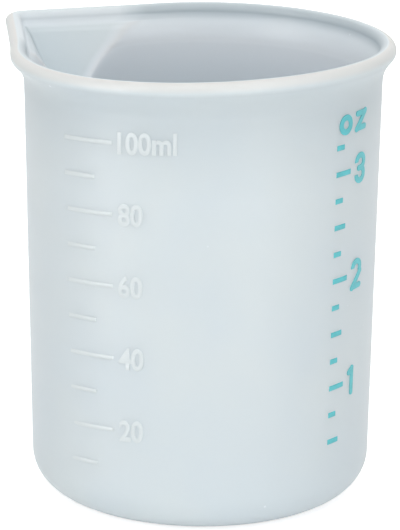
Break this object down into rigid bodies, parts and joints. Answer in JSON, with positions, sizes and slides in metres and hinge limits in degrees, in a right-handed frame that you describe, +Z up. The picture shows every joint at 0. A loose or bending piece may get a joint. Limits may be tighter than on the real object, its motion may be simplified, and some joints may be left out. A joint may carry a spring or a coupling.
{
  "type": "resin mixing cup",
  "caption": "Small silicone mixing and measuring cup with a flared beaded rim, a pulled-out pouring spout, a raised millilitre scale and a printed ounce scale.",
  "frame": {"origin": "centre of the base's flat underside, on the table", "axes": "+Z up out of the mouth, spout towards -X, raised millilitre scale facing -Y, printed ounce scale facing +X"},
  "size_m": [0.0647, 0.0564, 0.068],
  "materials": {
    "silicone": "translucent platinum-cure silicone, moulded, soft satin",
    "raised_silicone": "the same silicone, raised and whiter where it is thicker",
    "teal_ink": "teal silicone ink, screen-printed, satin"
  },
  "bodies": {
    "root": {"cup_body": "silicone", "long_ticks": "raised_silicone", "short_ticks": "raised_silicone", "numeral_100ml": "raised_silicone", "numeral_80": "raised_silicone", "numeral_60": "raised_silicone", "numeral_40": "raised_silicone", "numeral_20": "raised_silicone", "whole_ounce_ticks": "teal_ink", "half_ounce_ticks": "teal_ink", "quarter_ounce_ticks": "teal_ink", "ounce_numeral_1": "teal_ink", "ounce_numeral_2": "teal_ink", "ounce_numeral_3": "teal_ink", "ounce_unit": "teal_ink"}
  },
  "joints": []
}
